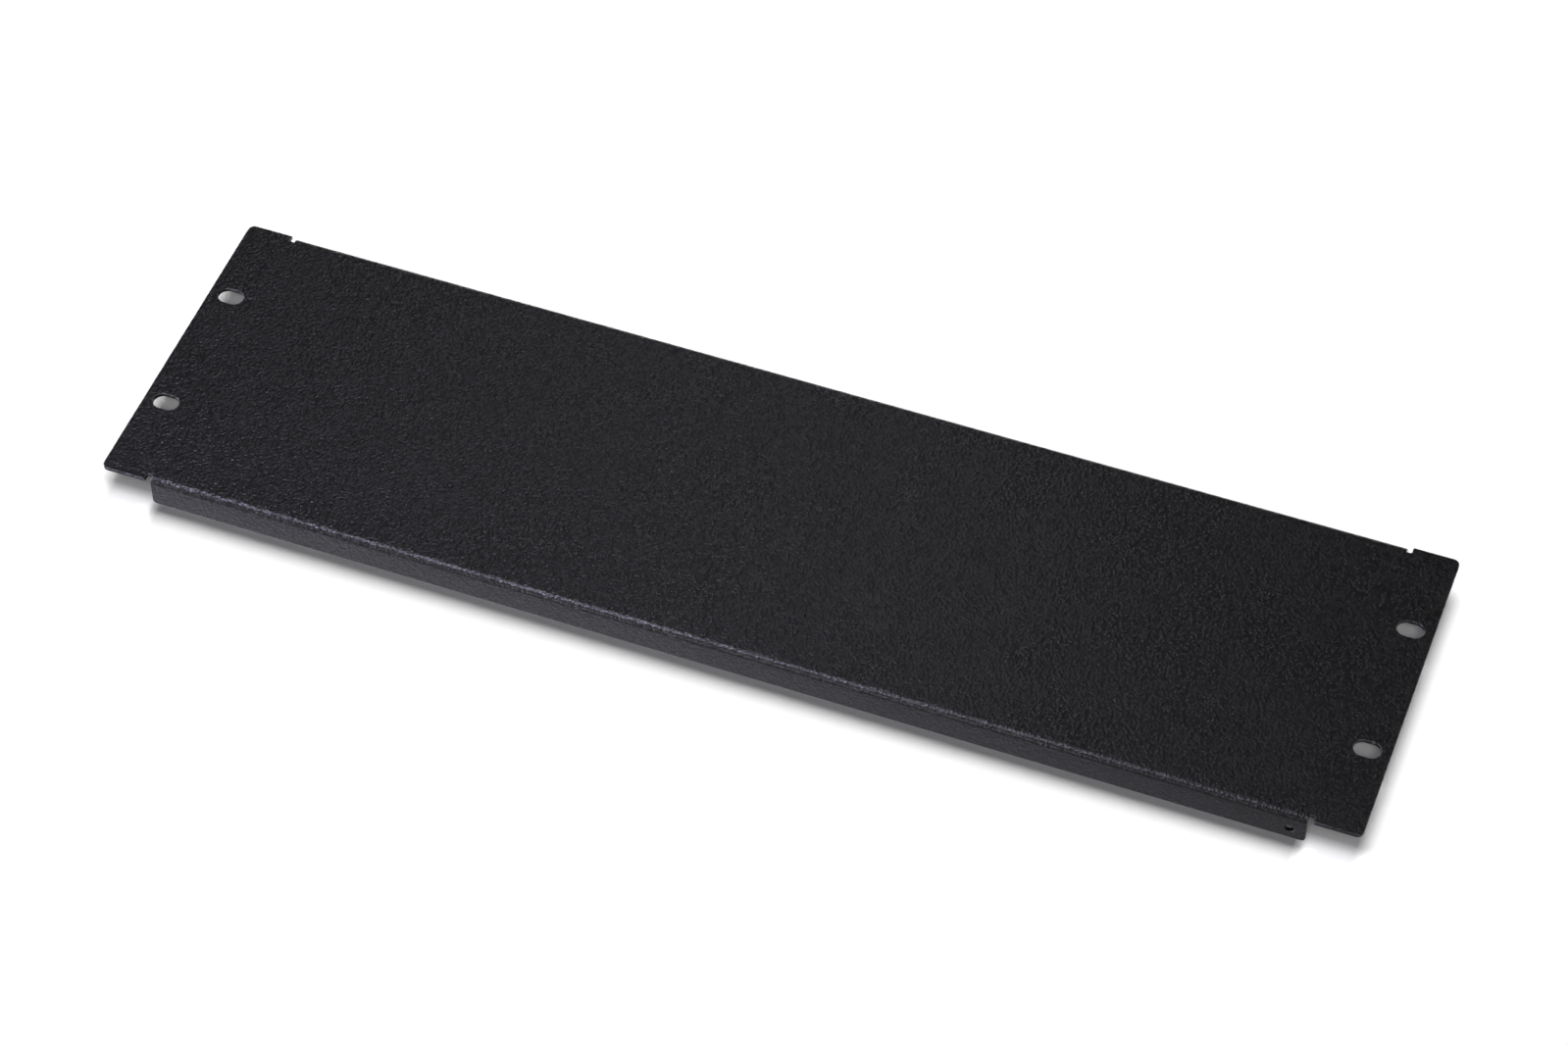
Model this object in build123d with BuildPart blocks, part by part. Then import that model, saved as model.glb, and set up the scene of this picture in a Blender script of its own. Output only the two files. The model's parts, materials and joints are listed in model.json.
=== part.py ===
from build123d import *
import os

os.makedirs("parts", exist_ok=True)

# A blanking panel for three units of a 19 inch rack, folded from one steel sheet.
# Lengths are in millimetres and include the powder coat.
# The panel lies face up on its two flanges: X runs along it and Z out of its face.

# Space in the rack
unit_height = 44.45
unit_count = 3
stacking_clearance = 2.15

# Face
panel_width = 482.6
panel_depth = 12.7
ear_width = 17.7
ear_corner_radius = 2.5

# Sheet and folds
sheet_thickness = 1.7
inner_bend_radius = 0.8
edge_round = 0.3
edge_break = 0.15

# Relief notch between each ear and the end of a flange
relief_width = 2.0
relief_past_bend = 0.2
relief_corner_radius = 0.6

# Flanges
flange_corner_radius = 1.5

# Mounting slots in the ears
slot_length = 10.0
slot_width = 7.0
slot_edge_distance = 8.75
slot_spacing = 57.15

# Hole that the panel hung from while it was coated, in one flange near its end
hanging_hole_diameter = 3.5
hanging_hole_end_distance = 6.0
hanging_hole_edge_distance = 5.0

# Sizes that follow
panel_height = unit_count * unit_height - stacking_clearance
outer_bend_radius = inner_bend_radius + sheet_thickness
flange_length = panel_width - 2 * (ear_width + relief_width)
fold_end = (flange_length + relief_width) / 2
relief_depth = outer_bend_radius + relief_past_bend
slot_column_spacing = panel_width - 2 * slot_edge_distance
hanging_hole_place = flange_length / 2 - hanging_hole_end_distance
rim_radius = min(edge_round, sheet_thickness / 3)
rim_break = min(edge_break, sheet_thickness / 3)


def right_angle_edges(solid):
    """List the edges where two faces meet at a right angle."""
    bounds = [(face, face.edges()) for face in solid.faces()]
    found = ShapeList()
    for edge in solid.edges():
        middle = edge.position_at(0.5)
        normals = [face.normal_at(middle) for face, edges in bounds if edge in edges]
        if len(normals) == 2 and round(normals[0].dot(normals[1])) == 0:
            found.append(edge)
    return found


def is_outer(edge):
    """Tell an edge that reaches the outside of the fold from one that lies on the inside."""
    middle = edge.position_at(0.5)
    on_front = edge.bounding_box().max.Z > panel_depth - sheet_thickness / 2
    off_centre = abs(middle.Y) > (panel_height - sheet_thickness) / 2
    on_flange = off_centre and abs(middle.X) < fold_end
    return on_front or on_flange


with BuildPart() as panel:
    # Folded run of sheet: one flange, the face, the other flange.
    with BuildSketch(Plane.YZ.offset(-fold_end)):
        with BuildLine():
            FilletPolyline(
                (-panel_height / 2, 0),
                (-panel_height / 2, panel_depth),
                (panel_height / 2, panel_depth),
                (panel_height / 2, 0),
                radius=outer_bend_radius,
            )
            offset(amount=sheet_thickness, side=Side.RIGHT)
        make_face()
    extrude(amount=2 * fold_end)

    # Flat ears: the face carried on past the folds, at its full height.
    with BuildSketch(Plane.XY.offset(panel_depth)):
        Rectangle(panel_width, panel_height)
        fillet(vertices(), radius=ear_corner_radius)
        Rectangle(2 * fold_end, panel_height, mode=Mode.SUBTRACT)
    extrude(amount=-sheet_thickness)

    # Relief notches: their bottoms lie just past the bends.
    with BuildSketch(Plane.XY.offset(panel_depth)):
        with GridLocations(2 * fold_end, panel_height, 2, 2):
            RectangleRounded(relief_width, 2 * relief_depth, relief_corner_radius)
    extrude(amount=-panel_depth, mode=Mode.SUBTRACT)

    # Rounded lower corners of the flanges.
    flange_corners = panel.edges().filter_by(Axis.Y).group_by(Axis.Z)[0]
    fillet(flange_corners, radius=flange_corner_radius)

    # The punch rolls the cut edge over on the outside and leaves it square on the inside.
    outer_rims = right_angle_edges(panel.part).filter_by(is_outer)
    fillet(outer_rims, radius=rim_radius)

    # Mounting slots, rolled over on the face and broken on the back.
    with BuildSketch(Plane.XY.offset(panel_depth)):
        with GridLocations(slot_column_spacing, slot_spacing, 2, 2):
            SlotOverall(slot_length, slot_width)
    extrude(amount=-sheet_thickness, mode=Mode.SUBTRACT)
    chamfer(panel.edges(Select.LAST).group_by(Axis.Z)[0], length=rim_break)
    front = panel.faces().sort_by(Axis.Z)[-1]
    fillet(front.inner_wires().edges(), radius=rim_radius)

    # Hanging hole, broken on both sides.
    with Locations(Plane.XZ.offset(panel_height / 2)):
        with Locations((hanging_hole_place, hanging_hole_edge_distance)):
            Hole(hanging_hole_diameter / 2, depth=sheet_thickness)
    chamfer(panel.edges(Select.LAST).filter_by(GeomType.CIRCLE), length=rim_break)

panel.part.label = "panel"
export_step(panel.part, "parts/panel.step")
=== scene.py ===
import bpy
import json
import math
from mathutils import Matrix, Vector


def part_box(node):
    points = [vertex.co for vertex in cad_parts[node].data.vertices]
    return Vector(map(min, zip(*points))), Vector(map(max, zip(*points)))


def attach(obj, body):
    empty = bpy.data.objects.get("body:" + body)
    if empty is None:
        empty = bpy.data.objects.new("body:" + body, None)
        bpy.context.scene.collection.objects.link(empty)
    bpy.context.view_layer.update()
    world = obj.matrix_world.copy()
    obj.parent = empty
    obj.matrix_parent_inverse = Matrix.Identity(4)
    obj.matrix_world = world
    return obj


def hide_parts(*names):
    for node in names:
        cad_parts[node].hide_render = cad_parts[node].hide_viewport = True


# The rack blanking panel as the camera sees it: face up on its two flanges.
# Everything is in metres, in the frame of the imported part.

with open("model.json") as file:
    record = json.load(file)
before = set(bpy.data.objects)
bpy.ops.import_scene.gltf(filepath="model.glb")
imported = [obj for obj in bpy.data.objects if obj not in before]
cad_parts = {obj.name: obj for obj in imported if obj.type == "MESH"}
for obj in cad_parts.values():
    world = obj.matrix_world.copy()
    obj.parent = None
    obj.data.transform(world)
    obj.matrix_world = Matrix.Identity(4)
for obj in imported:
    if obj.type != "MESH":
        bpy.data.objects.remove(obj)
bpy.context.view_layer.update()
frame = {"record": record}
scene = bpy.context.scene
print("frame loaded")


def addNode(tree, kind, place, **settings):
    node = tree.nodes.new(kind)
    node.location = place
    for name, value in settings.items():
        setattr(node, name, value)
    return node


def setInputs(node, **values):
    for name, value in values.items():
        node.inputs[name.replace("_", " ")].default_value = value


def addColourMix(tree, place, first, second):
    # A colour mix keeps its two colours in its sockets 6 and 7.
    node = addNode(tree, "ShaderNodeMix", place, data_type="RGBA")
    node.inputs[6].default_value = first
    node.inputs[7].default_value = second
    return node


def makeGroup(name, inputs, outputs):
    tree = bpy.data.node_groups.new(name, "ShaderNodeTree")
    for socketName, kind in inputs:
        tree.interface.new_socket(socketName, in_out="INPUT", socket_type=kind)
    for socketName, kind in outputs:
        tree.interface.new_socket(socketName, in_out="OUTPUT", socket_type=kind)
    return tree


def makeMaterial(name):
    material = bpy.data.materials.new(name)
    material.use_nodes = True
    material.node_tree.nodes.clear()
    return material


# The powder coat: a fine leathery grain with rougher and smoother patches. Its colour is painted
# darker in the grain's hollows than on its crests, as painted shade, and its bevelled rims are a
# lighter copy of it, a painted highlight.
# A pair in thickCoat, thinCoat, bendStart and bendEnd is a place and the grain's relief there.
powderCoat = {
    "shadedHollow": (0.0023, 0.0023, 0.0024, 1.0),
    "crest": (0.0092, 0.0092, 0.0096, 1.0),
    "highlightRimHollow": (0.012, 0.012, 0.013, 1.0),
    "highlightRimCrest": (0.060, 0.060, 0.063, 1.0),
    "lumpsPerMetre": 800.0,
    "swellsPerMetre": 480.0,
    "finePerMetre": 1000.0,
    "cloudsPerMetre": 34.0,
    "lumpSoftness": 0.3,
    "swellShare": 0.55,
    "fineShare": 1.3,
    "grainHeight": 0.00022,
    "thickCoat": (-0.24, 1.45),
    "thinCoat": (0.24, 0.8),
    "bendStart": (0.0622, 1.0),
    "bendEnd": (0.0642, 0.6),
    "grainRange": (1.24, 1.66),
    "grainRoughness": (1.15, 0.85),
    "cloudRange": (0.35, 0.65),
    "roughnessLow": 0.30,
    "roughnessHigh": 0.36,
    "ior": 1.5,
}


def makeGrainGroup():
    # Lumps with hollows between them, slow swells under them and a fine orange peel on top.
    group = makeGroup(
        "coatGrain",
        [("Vector", "NodeSocketVector"), ("Lumps", "NodeSocketFloat"),
         ("Swells", "NodeSocketFloat"), ("Fine", "NodeSocketFloat"),
         ("Clouds", "NodeSocketFloat")],
        [("Height", "NodeSocketFloat"), ("Cloud", "NodeSocketFloat")],
    )
    inside = addNode(group, "NodeGroupInput", (-900, 0))
    outside = addNode(group, "NodeGroupOutput", (700, 0))
    lumps = addNode(group, "ShaderNodeTexVoronoi", (-500, 400), feature="SMOOTH_F1")
    setInputs(lumps, Smoothness=powderCoat["lumpSoftness"])
    swells = addNode(group, "ShaderNodeTexNoise", (-500, 100))
    setInputs(swells, Detail=1.0, Roughness=0.5)
    fine = addNode(group, "ShaderNodeTexNoise", (-500, -200))
    setInputs(fine, Detail=1.0, Roughness=0.6)
    clouds = addNode(group, "ShaderNodeTexNoise", (-500, -500))
    setInputs(clouds, Detail=3.0, Roughness=0.55)
    links = group.links
    scales = ((lumps, "Lumps"), (swells, "Swells"), (fine, "Fine"), (clouds, "Clouds"))
    for texture, scaleName in scales:
        links.new(inside.outputs["Vector"], texture.inputs["Vector"])
        links.new(inside.outputs[scaleName], texture.inputs["Scale"])
    total = addNode(group, "ShaderNodeMath", (-250, 400), operation="SUBTRACT")
    total.inputs[0].default_value = 1.0
    links.new(lumps.outputs["Distance"], total.inputs[1])
    layers = ((swells, powderCoat["swellShare"], (0, 250)),
              (fine, powderCoat["fineShare"], (200, 100)))
    for texture, share, place in layers:
        layer = addNode(group, "ShaderNodeMath", place, operation="MULTIPLY_ADD")
        layer.inputs[1].default_value = share
        links.new(texture.outputs["Fac"], layer.inputs[0])
        links.new(total.outputs[0], layer.inputs[2])
        total = layer
    links.new(total.outputs[0], outside.inputs["Height"])
    links.new(clouds.outputs["Fac"], outside.inputs["Cloud"])
    return group


def makePowderCoat(name, shadedHollow, crestColour):
    material = makeMaterial(name)
    tree = material.node_tree
    links = tree.links
    place = addNode(tree, "ShaderNodeTexCoord", (-1300, 0))
    grain = addNode(tree, "ShaderNodeGroup", (-1050, 0), node_tree=coatGrain)
    setInputs(grain, Lumps=powderCoat["lumpsPerMetre"], Swells=powderCoat["swellsPerMetre"],
              Fine=powderCoat["finePerMetre"], Clouds=powderCoat["cloudsPerMetre"])
    # Painted shade: the base colour runs from the dark hollow colour to the lighter crest colour
    # with the grain's height.
    crest = addNode(tree, "ShaderNodeMapRange", (-800, 300))
    setInputs(crest, From_Min=powderCoat["grainRange"][0], From_Max=powderCoat["grainRange"][1])
    tint = addColourMix(tree, (-550, 300), shadedHollow, crestColour)
    rough = addNode(tree, "ShaderNodeMapRange", (-550, 0))
    setInputs(rough, From_Min=powderCoat["cloudRange"][0], From_Max=powderCoat["cloudRange"][1],
              To_Min=powderCoat["roughnessLow"], To_Max=powderCoat["roughnessHigh"])
    uneven = addNode(tree, "ShaderNodeMapRange", (-800, -150))
    setInputs(uneven, From_Min=powderCoat["grainRange"][0], From_Max=powderCoat["grainRange"][1],
              To_Min=powderCoat["grainRoughness"][0], To_Max=powderCoat["grainRoughness"][1])
    roughness = addNode(tree, "ShaderNodeMath", (-350, -50), operation="MULTIPLY")
    # The coat lies thicker towards one end, where its grain stands out more, and thinner over the
    # bends and flanges.
    split = addNode(tree, "ShaderNodeSeparateXYZ", (-1050, -500))
    coatDepth = addNode(tree, "ShaderNodeMapRange", (-800, -500))
    (thickAt, thickest), (thinAt, thinnest) = powderCoat["thickCoat"], powderCoat["thinCoat"]
    setInputs(coatDepth, From_Min=thickAt, From_Max=thinAt, To_Min=thickest, To_Max=thinnest)
    aside = addNode(tree, "ShaderNodeMath", (-1050, -750), operation="ABSOLUTE")
    bendDepth = addNode(tree, "ShaderNodeMapRange", (-800, -750))
    (bendAt, fullDepth), (flangeAt, flangeDepth) = powderCoat["bendStart"], powderCoat["bendEnd"]
    setInputs(bendDepth, From_Min=bendAt, From_Max=flangeAt, To_Min=fullDepth, To_Max=flangeDepth)
    depth = addNode(tree, "ShaderNodeMath", (-650, -600), operation="MULTIPLY")
    relief = addNode(tree, "ShaderNodeMath", (-500, -450), operation="MULTIPLY")
    bump = addNode(tree, "ShaderNodeBump", (-450, -350))
    setInputs(bump, Strength=1.0, Distance=powderCoat["grainHeight"])
    shader = addNode(tree, "ShaderNodeBsdfPrincipled", (-250, 100))
    setInputs(shader, IOR=powderCoat["ior"])
    out = addNode(tree, "ShaderNodeOutputMaterial", (50, 100))
    links.new(place.outputs["Object"], grain.inputs["Vector"])
    links.new(grain.outputs["Height"], crest.inputs["Value"])
    links.new(crest.outputs["Result"], tint.inputs[0])
    links.new(grain.outputs["Cloud"], rough.inputs["Value"])
    links.new(place.outputs["Object"], split.inputs[0])
    links.new(split.outputs[0], coatDepth.inputs["Value"])
    links.new(grain.outputs["Height"], relief.inputs[0])
    links.new(split.outputs[1], aside.inputs[0])
    links.new(aside.outputs[0], bendDepth.inputs["Value"])
    links.new(coatDepth.outputs["Result"], depth.inputs[0])
    links.new(bendDepth.outputs["Result"], depth.inputs[1])
    links.new(depth.outputs[0], relief.inputs[1])
    links.new(relief.outputs[0], bump.inputs["Height"])
    links.new(tint.outputs[2], shader.inputs["Base Color"])
    links.new(grain.outputs["Height"], uneven.inputs["Value"])
    links.new(rough.outputs["Result"], roughness.inputs[0])
    links.new(uneven.outputs["Result"], roughness.inputs[1])
    links.new(roughness.outputs[0], shader.inputs["Roughness"])
    links.new(bump.outputs["Normal"], shader.inputs["Normal"])
    links.new(shader.outputs["BSDF"], out.inputs["Surface"])
    return material


coatGrain = makeGrainGroup()
blackPowderCoat = makePowderCoat("blackPowderCoat", powderCoat["shadedHollow"], powderCoat["crest"])
paintedHighlightRim = makePowderCoat("paintedHighlightRim", powderCoat["highlightRimHollow"], powderCoat["highlightRimCrest"])


# The sheet: punched, folded and eased at its edges. The slots' sizes come from the record.
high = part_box("panel")[1]  # the panel's highest corner
slotFacts = frame["record"]["mounts"][0]["dims"]
sheet = {
    "halfLength": high.x,
    "halfWidth": high.y,
    "depth": high.z,
    "thickness": 0.0017,
    "bendRadius": 0.0025,
    "bendSteps": 12,
    "earWidth": 0.0177,
    "earCorner": 0.0025,
    "notchWidth": 0.0020,
    "notchDepth": 0.0027,
    "notchCorner": 0.0006,
    "flangeCorner": 0.0015,
    "cornerSteps": 8,
    "slotAcross": slotFacts["spacing_x_mm"] / 1000,
    "slotUp": slotFacts["spacing_y_mm"] / 1000,
    "slotLength": slotFacts["slot_length_mm"] / 1000,
    "slotWidth": 2 * slotFacts["hole_r_mm"] / 1000,
    "slotSteps": 16,
    "slotRounding": 0.4999,  # of the slot's width, just under half so that its arcs stay apart
    "holeRadius": 0.00175,
    "holeFromEnd": 0.0060,
    "holeHeight": 0.0050,
    "holeSides": 32,
    "drillLength": 4.0,  # times the thickness
    "edgeRound": 0.0003,
    "edgeSteps": 3,
    "edgeAngle": 50,  # degrees
    "flatShading": 100,  # full weight to the flat faces
    "seamReach": 0.000005,
}
flangeEnd = sheet["halfLength"] - sheet["earWidth"] - sheet["notchWidth"]
foldLine = sheet["halfWidth"] - sheet["bendRadius"]
bendRun = sheet["bendRadius"] * math.pi / 2
blankHalf = foldLine + bendRun + sheet["depth"] - sheet["bendRadius"]
notchMiddle = flangeEnd + sheet["notchWidth"] / 2
bendLines = [foldLine + bendRun * step / sheet["bendSteps"]
             for step in range(sheet["bendSteps"] + 1)]


def cornerArc(x, y, radius, start, end):
    points = []
    for step in range(sheet["cornerSteps"] + 1):
        angle = math.radians(start + (end - start) * step / sheet["cornerSteps"])
        points.append((x + radius * math.cos(angle), y + radius * math.sin(angle)))
    return points


def quarterOutline():
    # One quarter of the flat blank's edge, from the ear's end to the flange's free edge.
    ear, notch, flange = sheet["earCorner"], sheet["notchCorner"], sheet["flangeCorner"]
    notchOuter = flangeEnd + sheet["notchWidth"]
    arcLine = sheet["halfWidth"] - sheet["notchDepth"] + notch
    points = cornerArc(sheet["halfLength"] - ear, sheet["halfWidth"] - ear, ear, 0, 90)
    points.append((notchOuter, sheet["halfWidth"]))
    points += cornerArc(notchOuter - notch, arcLine, notch, 0, -90)
    pastBend = sheet["notchDepth"] - sheet["bendRadius"]
    points += cornerArc(flangeEnd + pastBend, foldLine, pastBend, -90, -180)[:-1]
    points += [(flangeEnd, line) for line in bendLines]
    points += cornerArc(flangeEnd - flange, blankHalf - flange, flange, 0, 90)
    return points


def makeBlank():
    # The flat blank, quarter by quarter: the face with its ears, the bends' steps, the flanges.
    quarter = quarterOutline()
    size = len(quarter)
    signs = ((1, 1), (-1, 1), (-1, -1), (1, -1))
    points = [(x * alongSign, y * acrossSign, 0.0)
              for alongSign, acrossSign in signs for x, y in quarter]
    bendStart = quarter.index((flangeEnd, bendLines[0]))
    bendEnd = quarter.index((flangeEnd, bendLines[-1]))
    face = []
    faces = []
    for first, second in ((0, 1), (2, 3)):
        firstQuarter = range(first * size, (first + 1) * size)
        secondQuarter = range(second * size, (second + 1) * size)
        face += [*firstQuarter[:bendStart + 1], *reversed(secondQuarter[:bendStart + 1])]
        faces.append([*firstQuarter[bendEnd:], *reversed(secondQuarter[bendEnd:])])
        for i in range(bendStart, bendEnd):
            faces.append([firstQuarter[i], firstQuarter[i + 1],
                          secondQuarter[i + 1], secondQuarter[i]])
    mesh = bpy.data.meshes.new("flatBlank")
    mesh.from_pydata(points, [], [face] + faces)
    mesh.materials.append(blackPowderCoat)
    mesh.materials.append(paintedHighlightRim)
    blank = bpy.data.objects.new("flatBlank", mesh)
    scene.collection.objects.link(blank)
    return blank


def makeFoldTree():
    # Geometry Nodes: fold the blank, give it its thickness, then punch the slots and the hole.
    tree = bpy.data.node_groups.new("foldAndPunch", "GeometryNodeTree")
    tree.interface.new_socket("Blank", in_out="INPUT", socket_type="NodeSocketGeometry")
    for name in ("Fold Line", "Bend Radius", "Fold End", "Depth", "Thickness", "Slot Across",
                 "Slot Up", "Slot Length", "Slot Width", "Hole Radius", "Hole Along", "Hole Side",
                 "Hole Height"):
        tree.interface.new_socket(name, in_out="INPUT", socket_type="NodeSocketFloat")
    tree.interface.new_socket("Slot Steps", in_out="INPUT", socket_type="NodeSocketInt")
    tree.interface.new_socket("Coat", in_out="INPUT", socket_type="NodeSocketMaterial")
    tree.interface.new_socket("Panel", in_out="OUTPUT", socket_type="NodeSocketGeometry")
    links = tree.links
    given = addNode(tree, "NodeGroupInput", (-2600, 0)).outputs
    result = addNode(tree, "NodeGroupOutput", (2400, 0))

    def feed(node, values):
        for socket, value in values:
            if isinstance(value, bpy.types.NodeSocket):
                links.new(value, node.inputs[socket])
            else:
                node.inputs[socket].default_value = value
        return node

    def calc(operation, place, *values):
        node = addNode(tree, "ShaderNodeMath", place, operation=operation)
        return feed(node, enumerate(values)).outputs[0]

    def vector(place, *values):
        return feed(addNode(tree, "ShaderNodeCombineXYZ", place), enumerate(values)).outputs[0]

    def thicken(geometry, direction, thickness, place):
        # Faces become a closed solid: one copy is drawn along the direction, the other turned over.
        x, y = place
        drawn = addNode(tree, "GeometryNodeExtrudeMesh", (x, y), mode="FACES")
        feed(drawn, [("Mesh", geometry), ("Offset", direction), ("Offset Scale", thickness),
                     ("Individual", False)])
        turned = feed(addNode(tree, "GeometryNodeFlipFaces", (x, y - 300)), [("Mesh", geometry)])
        both = addNode(tree, "GeometryNodeJoinGeometry", (x + 200, y))
        links.new(drawn.outputs["Mesh"], both.inputs[0])
        links.new(turned.outputs["Mesh"], both.inputs[0])
        closed = addNode(tree, "GeometryNodeMergeByDistance", (x + 400, y))
        feed(closed, [("Geometry", both.outputs[0]), ("Distance", sheet["seamReach"])])
        return closed.outputs["Geometry"]

    # Fold: past the fold line the sheet runs round the bend and then straight down.
    where = addNode(tree, "GeometryNodeInputPosition", (-2600, -500))
    split = feed(addNode(tree, "ShaderNodeSeparateXYZ", (-2400, -500)), [(0, where.outputs[0])])
    along, across = split.outputs[0], split.outputs[1]
    radius = given["Bend Radius"]
    off = calc("ABSOLUTE", (-2200, -600), across)
    pastFold = calc("SUBTRACT", (-2000, -600), off, given["Fold Line"])
    rolled = calc("MAXIMUM", (-1800, -600), pastFold, 0.0)
    fullTurn = calc("DIVIDE", (-1600, -600), rolled, radius)
    turn = calc("MINIMUM", (-1400, -600), fullTurn, math.pi / 2)
    quarterRun = calc("MULTIPLY", (-1400, -850), radius, math.pi / 2)
    pastBend = calc("SUBTRACT", (-1200, -850), rolled, quarterRun)
    down = calc("MAXIMUM", (-1000, -850), pastBend, 0.0)
    sine = calc("SINE", (-1200, -500), turn)
    cosine = calc("COSINE", (-1200, -1050), turn)
    side = calc("SIGN", (-1200, -250), across)
    outward = calc("MULTIPLY", (-1000, -500), radius, sine)
    flat = calc("MINIMUM", (-1000, -300), off, given["Fold Line"])
    reach = calc("MULTIPLY", (-600, -400), calc("ADD", (-800, -400), flat, outward), side)
    upright = calc("SUBTRACT", (-1000, -1050), 1.0, cosine)
    bendDrop = calc("MULTIPLY", (-800, -1050), radius, upright)
    bendHeight = calc("SUBTRACT", (-600, -900), given["Depth"], bendDrop)
    height = calc("SUBTRACT", (-400, -900), bendHeight, down)
    folds = calc("LESS_THAN", (-800, 0), calc("ABSOLUTE", (-1000, 0), along), given["Fold End"])
    stays = calc("SUBTRACT", (-600, 150), 1.0, folds)
    leanOut = calc("MULTIPLY", (-1000, 300), sine, side)
    turnedIn = calc("MULTIPLY", (-1000, 450), folds, -1.0)
    leanAcross = calc("MULTIPLY", (-800, 300), leanOut, turnedIn)
    foldedUp = calc("MULTIPLY", (-800, 500), folds, upright)
    leanDown = calc("SUBTRACT", (-600, 450), foldedUp, 1.0)
    kept = addNode(tree, "GeometryNodeCaptureAttribute", (-400, 300), domain="POINT")
    kept.capture_items.new("VECTOR", "Inward")
    feed(kept, [("Geometry", given["Blank"]), (1, vector((-500, 600), 0.0, leanAcross, leanDown))])
    folded = addNode(tree, "GeometryNodeSetPosition", (-200, 100))
    feed(folded, [("Geometry", kept.outputs["Geometry"]), ("Selection", folds),
                  ("Position", vector((-400, -300), along, reach, height))])
    lifted = addNode(tree, "GeometryNodeSetPosition", (0, 100))
    feed(lifted, [("Geometry", folded.outputs[0]), ("Selection", stays),
                  ("Position", vector((-200, -150), along, across, given["Depth"]))])
    inward = feed(addNode(tree, "GeometryNodeFlipFaces", (200, 100)), [("Mesh", lifted.outputs[0])])
    solid = thicken(inward.outputs[0], kept.outputs[1], given["Thickness"], (400, 100))

    # Slots: one cutter, set out on the four corners of a grid.
    slotOval = addNode(tree, "GeometryNodeCurvePrimitiveQuadrilateral", (-400, -1300))
    feed(slotOval, [("Width", given["Slot Length"]), ("Height", given["Slot Width"])])
    slotRound = addNode(tree, "GeometryNodeFilletCurve", (-200, -1300), mode="POLY")
    endRadius = calc("MULTIPLY", (-400, -1500), given["Slot Width"], sheet["slotRounding"])
    feed(slotRound, [("Curve", slotOval.outputs[0]), ("Count", given["Slot Steps"]),
                     ("Limit Radius", True), ("Radius", endRadius)])
    slotFace = addNode(tree, "GeometryNodeFillCurve", (0, -1300), mode="NGONS")
    feed(slotFace, [("Curve", slotRound.outputs[0])])
    slotTool = thicken(slotFace.outputs[0], (0.0, 0.0, 1.0), given["Depth"], (200, -1300))
    spots = addNode(tree, "GeometryNodeMeshGrid", (600, -1000))
    feed(spots, [("Size X", given["Slot Across"]), ("Size Y", given["Slot Up"]),
                 ("Vertices X", 2), ("Vertices Y", 2)])
    setOut = addNode(tree, "GeometryNodeInstanceOnPoints", (900, -1100))
    feed(setOut, [("Points", spots.outputs["Mesh"]), ("Instance", slotTool)])
    slotTools = addNode(tree, "GeometryNodeRealizeInstances", (1100, -1100))
    feed(slotTools, [(0, setOut.outputs[0])])
    halfDepth = calc("MULTIPLY", (900, -1400), given["Depth"], 0.5)
    raised = addNode(tree, "GeometryNodeTransform", (1300, -1100))
    feed(raised, [("Geometry", slotTools.outputs[0]),
                  ("Translation", vector((1100, -1300), 0.0, 0.0, halfDepth))])

    # Hanging hole: a round cutter through one flange.
    drill = addNode(tree, "GeometryNodeMeshCylinder", (900, -1700))
    drillLength = calc("MULTIPLY", (700, -1800), given["Thickness"], sheet["drillLength"])
    feed(drill, [("Vertices", sheet["holeSides"]), ("Radius", given["Hole Radius"]),
                 ("Depth", drillLength)])
    holePlace = vector((1100, -1850), given["Hole Along"], given["Hole Side"],
                       given["Hole Height"])
    aimed = addNode(tree, "GeometryNodeTransform", (1300, -1700))
    feed(aimed, [("Geometry", drill.outputs["Mesh"]), ("Rotation", (math.pi / 2, 0.0, 0.0)),
                 ("Translation", holePlace)])

    punched = addNode(tree, "GeometryNodeMeshBoolean", (1500, 0), operation="DIFFERENCE",
                      solver="EXACT")
    links.new(solid, punched.inputs["Mesh 1"])
    links.new(raised.outputs[0], punched.inputs["Mesh 2"])
    links.new(aimed.outputs[0], punched.inputs["Mesh 2"])
    smooth = addNode(tree, "GeometryNodeSetShadeSmooth", (1700, 0))
    feed(smooth, [(0, punched.outputs["Mesh"])])
    real = addNode(tree, "GeometryNodeRealizeInstances", (1900, 0))
    feed(real, [(0, smooth.outputs[0])])
    coated = addNode(tree, "GeometryNodeSetMaterial", (2150, 0))
    feed(coated, [("Geometry", real.outputs[0]), ("Material", given["Coat"])])
    links.new(coated.outputs[0], result.inputs[0])
    return tree


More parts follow.
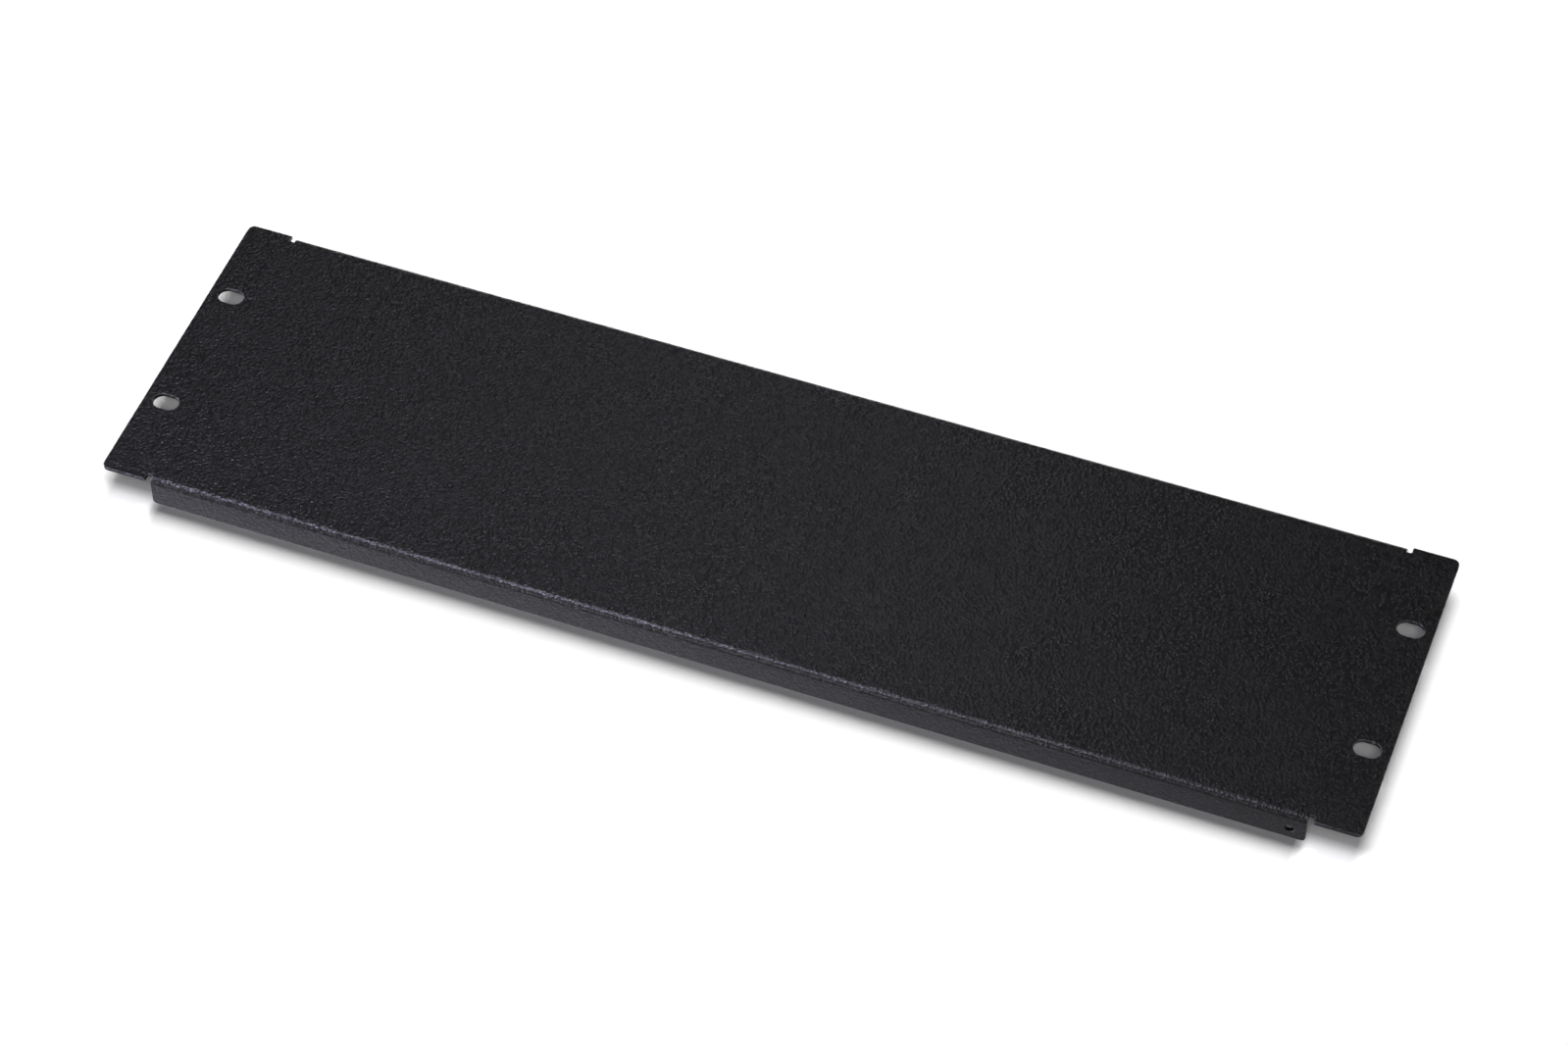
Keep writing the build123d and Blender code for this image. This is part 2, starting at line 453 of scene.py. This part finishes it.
def makePanel():
    blank = makeBlank()
    fold = blank.modifiers.new("foldAndPunch", "NODES")
    fold.node_group = makeFoldTree()
    values = {
        "Fold Line": foldLine,
        "Bend Radius": sheet["bendRadius"],
        "Fold End": notchMiddle,
        "Depth": sheet["depth"],
        "Thickness": sheet["thickness"],
        "Slot Across": sheet["slotAcross"],
        "Slot Up": sheet["slotUp"],
        "Slot Length": sheet["slotLength"],
        "Slot Width": sheet["slotWidth"],
        "Slot Steps": sheet["slotSteps"],
        "Hole Radius": sheet["holeRadius"],
        "Hole Along": flangeEnd - sheet["holeFromEnd"],
        "Hole Side": -sheet["halfWidth"],
        "Hole Height": sheet["holeHeight"],
        "Coat": blackPowderCoat,
    }
    for item in fold.node_group.interface.items_tree:
        if item.name in values:
            fold[item.identifier] = values[item.name]
    ease = blank.modifiers.new("easedEdges", "BEVEL")
    ease.width = sheet["edgeRound"]
    ease.segments = sheet["edgeSteps"]
    ease.material = 1  # the rims' lighter copy of the coat, a painted highlight
    ease.limit_method = "ANGLE"
    ease.angle_limit = math.radians(sheet["edgeAngle"])
    ease.use_clamp_overlap = False
    lay = blank.modifiers.new("flatShade", "WEIGHTED_NORMAL")
    lay.weight = sheet["flatShading"]
    ready = blank.evaluated_get(bpy.context.evaluated_depsgraph_get())
    mesh = bpy.data.meshes.new_from_object(ready)
    mesh.name = "foldedPanel"
    bpy.data.objects.remove(blank)
    piece = bpy.data.objects.new("foldedPanel", mesh)
    scene.collection.objects.link(piece)
    return piece


foldedPanel = makePanel()
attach(foldedPanel, "root")
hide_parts("panel")
print("panel folded and coated:", len(foldedPanel.data.polygons), "faces")


# The floor, a plain pale sheet under everything. For gloss rays alone it glows, a painted
# reflection: bright just in front of the panel, less so towards the right end, and darker farther
# off. A painted glow before and under the ears, standing for light that cards throw back, lifts
# their cast shadow. A pair in cardAlong and cardAcross is a place and its share.
floor = {
    "halfSide": 4.0,
    "colour": (0.92, 0.92, 0.92, 1.0),
    "fleckColour": (0.88, 0.88, 0.88, 1.0),
    "flecksPerMetre": 260.0,
    "fleckHeight": 0.00004,
    "glowColour": (0.9, 0.9, 1.0, 1.0),
    "frontGlow": 0.83,
    "farGlow": 0.12,
    "glowStart": -0.064,
    "glowFull": -0.0715,
    "glowGone": -0.091,
    "leftEnd": -0.03,
    "rightEnd": 0.23,
    "rightGlow": 0.55,
    "cardColour": (0.97, 0.97, 1.0, 1.0),
    "cardReach": 0.3,
    "cardAlong": ((0.2185, 0.0), (0.2235, 1.0), (0.2430, 1.0), (0.2580, 0.0)),
    "cardAcross": ((-0.1000, 0.0), (-0.0800, 0.85), (-0.0685, 0.85), (-0.0598, 0.08),
                   (0.0600, 0.08), (0.0800, 0.0)),
}


def addProfile(tree, place, stops):
    # A smooth profile over a length, from pairs of a length and the height there.
    node = addNode(tree, "ShaderNodeValToRGB", place)
    ramp = node.color_ramp
    ramp.interpolation = "EASE"
    while len(ramp.elements) < len(stops):
        ramp.elements.new(1.0)
    for element, (length, height) in zip(ramp.elements, stops):
        element.position = 0.5 + length / floor["cardReach"] / 2
        element.color = (height, height, height, 1.0)
    return node


def makeFloor():
    side = floor["halfSide"]
    mesh = bpy.data.meshes.new("paleFloor")
    corners = [(-side, -side, 0.0), (side, -side, 0.0), (side, side, 0.0), (-side, side, 0.0)]
    mesh.from_pydata(corners, [], [(0, 1, 2, 3)])
    piece = bpy.data.objects.new("paleFloor", mesh)
    scene.collection.objects.link(piece)
    material = makeMaterial("palePaper")
    tree = material.node_tree
    links = tree.links
    paper = addNode(tree, "ShaderNodeBsdfDiffuse", (0, 150))
    place = addNode(tree, "ShaderNodeTexCoord", (-900, -200))
    flecks = addNode(tree, "ShaderNodeTexNoise", (-700, 200))
    setInputs(flecks, Scale=floor["flecksPerMetre"], Detail=2.0)
    tone = addColourMix(tree, (-250, 150), floor["fleckColour"], floor["colour"])
    tooth = addNode(tree, "ShaderNodeBump", (-250, -20))
    setInputs(tooth, Distance=floor["fleckHeight"])
    split = addNode(tree, "ShaderNodeSeparateXYZ", (-700, -200))
    fade = addNode(tree, "ShaderNodeMapRange", (-450, -200))
    setInputs(fade, From_Min=floor["glowGone"], From_Max=floor["glowFull"], To_Min=floor["farGlow"],
              To_Max=floor["frontGlow"])
    endFade = addNode(tree, "ShaderNodeMapRange", (-450, -500))
    setInputs(endFade, From_Min=floor["leftEnd"], From_Max=floor["rightEnd"], To_Min=1.0,
              To_Max=floor["rightGlow"])
    dimmed = addNode(tree, "ShaderNodeMath", (-250, -400), operation="MULTIPLY")
    # Painted reflection: a glow that only gloss rays see.
    glow = addNode(tree, "ShaderNodeEmission", (-50, -200))
    setInputs(glow, Color=floor["glowColour"])
    inFront = addNode(tree, "ShaderNodeMath", (-450, 50), operation="LESS_THAN")
    inFront.inputs[1].default_value = floor["glowStart"]
    beside = addNode(tree, "ShaderNodeMath", (-900, 900), operation="ABSOLUTE")
    spread = {"From_Min": -floor["cardReach"], "From_Max": floor["cardReach"]}
    alongShare = addNode(tree, "ShaderNodeMapRange", (-700, 900))
    setInputs(alongShare, **spread)
    acrossShare = addNode(tree, "ShaderNodeMapRange", (-700, 600))
    setInputs(acrossShare, **spread)
    alongCard = addProfile(tree, (-500, 900), floor["cardAlong"])
    acrossCard = addProfile(tree, (-500, 600), floor["cardAcross"])
    card = addNode(tree, "ShaderNodeMath", (-200, 800), operation="MULTIPLY")
    facing = addNode(tree, "ShaderNodeNewGeometry", (-400, 1200))  # the glow is on the upper side
    above = addNode(tree, "ShaderNodeMath", (-100, 950), operation="SUBTRACT", use_clamp=True)
    # Painted light: the floor glows before and under the ears, though no lamp is there.
    thrown = addNode(tree, "ShaderNodeEmission", (0, 700))
    setInputs(thrown, Color=floor["cardColour"])
    both = addNode(tree, "ShaderNodeAddShader", (150, 400))
    path = addNode(tree, "ShaderNodeLightPath", (-450, 400))
    gloss = addNode(tree, "ShaderNodeMath", (-200, 300), operation="MULTIPLY")
    either = addNode(tree, "ShaderNodeMixShader", (250, 0))
    out = addNode(tree, "ShaderNodeOutputMaterial", (450, 0))
    links.new(place.outputs["Object"], split.inputs[0])
    links.new(place.outputs["Object"], flecks.inputs["Vector"])
    links.new(flecks.outputs["Fac"], tone.inputs[0])
    links.new(flecks.outputs["Fac"], tooth.inputs["Height"])
    links.new(tone.outputs[2], paper.inputs["Color"])
    links.new(tooth.outputs["Normal"], paper.inputs["Normal"])
    links.new(split.outputs[1], fade.inputs["Value"])
    links.new(split.outputs[1], inFront.inputs[0])
    links.new(split.outputs[0], endFade.inputs["Value"])
    links.new(fade.outputs["Result"], dimmed.inputs[0])
    links.new(endFade.outputs["Result"], dimmed.inputs[1])
    links.new(dimmed.outputs[0], glow.inputs["Strength"])
    links.new(path.outputs["Is Glossy Ray"], gloss.inputs[0])
    links.new(inFront.outputs[0], gloss.inputs[1])
    links.new(gloss.outputs[0], either.inputs[0])
    links.new(split.outputs[0], beside.inputs[0])
    links.new(beside.outputs[0], alongShare.inputs["Value"])
    links.new(split.outputs[1], acrossShare.inputs["Value"])
    links.new(alongShare.outputs["Result"], alongCard.inputs["Fac"])
    links.new(acrossShare.outputs["Result"], acrossCard.inputs["Fac"])
    links.new(alongCard.outputs["Color"], card.inputs[0])
    links.new(acrossCard.outputs["Color"], card.inputs[1])
    links.new(card.outputs[0], above.inputs[0])
    links.new(facing.outputs["Backfacing"], above.inputs[1])
    links.new(above.outputs[0], thrown.inputs["Strength"])
    links.new(paper.outputs[0], both.inputs[0])
    links.new(thrown.outputs[0], both.inputs[1])
    links.new(both.outputs[0], either.inputs[1])
    links.new(glow.outputs[0], either.inputs[2])
    links.new(either.outputs[0], out.inputs["Surface"])
    mesh.materials.append(material)


makeFloor()
print("floor laid")


# Studio light. The broad sky lamp and the fill shade; the squares, bluer on the left, only shine.
# The rake skims over the panel alone from the left, which draws out the grain there.
# Each lamp points at the origin.
lamps = {
    "skyLamp": {"kind": "AREA", "place": (-0.05, 1.33, 2.50), "size": 1.68, "power": 11.95,
                "colour": (1.0, 1.0, 1.0), "shade": True, "shine": False, "even": True},
    "cameraFill": {"kind": "SUN", "place": (0.33, -0.88, 1.13), "size": math.radians(12),
                   "power": 0.42, "colour": (1.0, 1.0, 1.0), "shade": True, "shine": False},
    "leftRake": {"kind": "AREA", "place": (-0.62, -0.34, 0.083), "size": 0.08, "power": 13.0,
                 "colour": (0.80, 0.74, 1.0), "shade": True, "shine": False, "panelOnly": True},
    "nearSquare": {"kind": "AREA", "place": (-0.43, -0.36, 0.84), "size": 0.24, "power": 4.9,
                   "colour": (0.80, 0.77, 1.0), "shade": False, "shine": True},
    "midSquare": {"kind": "AREA", "place": (-0.04, -0.50, 0.87), "size": 0.22, "power": 1.4,
                  "colour": (0.88, 0.87, 1.0), "shade": False, "shine": True},
    "topSquare": {"kind": "AREA", "place": (-0.14, 0.02, 1.00), "size": 0.30, "power": 1.0,
                  "colour": (0.86, 0.84, 1.0), "shade": False, "shine": True},
    "farSquare": {"kind": "AREA", "place": (-0.30, 0.75, 0.60), "size": 0.30, "power": 0.45,
                  "colour": (0.90, 0.90, 1.0), "shade": False, "shine": True},
    "lowLeft": {"kind": "AREA", "place": (-0.85, -0.60, 0.18), "size": 0.25, "power": 1.3,
                "colour": (0.90, 0.90, 1.0), "shade": False, "shine": True},
    "lowFront": {"kind": "AREA", "place": (-0.20, -0.98, 0.18), "size": 0.30, "power": 1.7,
                 "colour": (0.92, 0.92, 1.0), "shade": False, "shine": True},
    "lowRight": {"kind": "AREA", "place": (1.00, -1.70, 0.36), "size": 0.50, "power": 7.5,
                 "colour": (0.96, 0.96, 1.0), "shade": False, "shine": True},
}
# The room beyond the floor looks white to the camera and throws only a little light.
world = {"seen": (1.0, 1.0, 1.0, 1.0), "lit": (0.045, 0.045, 0.048, 1.0)}


def makeLamp(name, facts):
    light = bpy.data.lights.new(name, facts["kind"])
    if facts["kind"] == "SUN":
        light.angle = facts["size"]
    else:
        light.shape = "DISK" if facts.get("even") else "SQUARE"
        light.size = facts["size"]
    if facts.get("even"):
        # As strong at every distance, so that the floor stays pale well away from the panel.
        light.use_nodes = True
        glow = light.node_tree.nodes["Emission"]
        reach = light.node_tree.nodes.new("ShaderNodeLightFalloff")
        reach.location = (-200, 0)
        reach.inputs["Strength"].default_value = 1.0
        light.node_tree.links.new(reach.outputs["Constant"], glow.inputs["Strength"])
    light.energy = facts["power"]
    light.color = facts["colour"]
    piece = bpy.data.objects.new(name, light)
    scene.collection.objects.link(piece)
    piece.location = facts["place"]
    piece.rotation_mode = "QUATERNION"
    piece.rotation_quaternion = Vector(facts["place"]).to_track_quat("Z", "Y")
    piece.visible_diffuse = facts["shade"]
    piece.visible_glossy = facts["shine"]
    if facts.get("panelOnly"):
        lit = bpy.data.collections.new(name + "Lit")
        lit.objects.link(foldedPanel)
        piece.light_linking.receiver_collection = lit


for lampName, lampFacts in lamps.items():
    makeLamp(lampName, lampFacts)


def makeWorld():
    sky = bpy.data.worlds.new("studio")
    sky.use_nodes = True
    tree = sky.node_tree
    tree.nodes.clear()
    path = addNode(tree, "ShaderNodeLightPath", (-600, 200))
    pick = addColourMix(tree, (-300, 0), world["lit"], world["seen"])
    shade = addNode(tree, "ShaderNodeBackground", (0, 0))
    out = addNode(tree, "ShaderNodeOutputWorld", (250, 0))
    tree.links.new(path.outputs["Is Camera Ray"], pick.inputs[0])
    tree.links.new(pick.outputs[2], shade.inputs["Color"])
    tree.links.new(shade.outputs[0], out.inputs["Surface"])
    scene.world = sky


makeWorld()
scene.view_settings.view_transform = "Standard"
scene.view_settings.look = "None"
print("lights set")


# The camera at the photograph's place, fitted to the panel's edges and slots.
cameraFit = {
    "place": (0.370503, -0.976751, 1.262601),
    "right": (0.9368114, 0.34983104, -0.00162734),
    "up": (-0.2679305, 0.72046571, 0.63964241),
    "back": (0.22493921, -0.59878829, 0.76867089),
    "lens": 102.137,
    "sensorWidth": 36.0,
    "nearest": 0.05,
    "farthest": 50.0,
}


def makeCamera():
    lens = bpy.data.cameras.new("studioCamera")
    lens.lens = cameraFit["lens"]
    lens.sensor_fit = "HORIZONTAL"
    lens.sensor_width = cameraFit["sensorWidth"]
    lens.clip_start = cameraFit["nearest"]
    lens.clip_end = cameraFit["farthest"]
    piece = bpy.data.objects.new("studioCamera", lens)
    scene.collection.objects.link(piece)
    columns = [cameraFit["right"], cameraFit["up"], cameraFit["back"]]
    turn = Matrix(columns).transposed().to_4x4()
    piece.matrix_world = Matrix.Translation(cameraFit["place"]) @ turn
    scene.camera = piece


makeCamera()
print("camera placed")

bpy.context.view_layer.update()
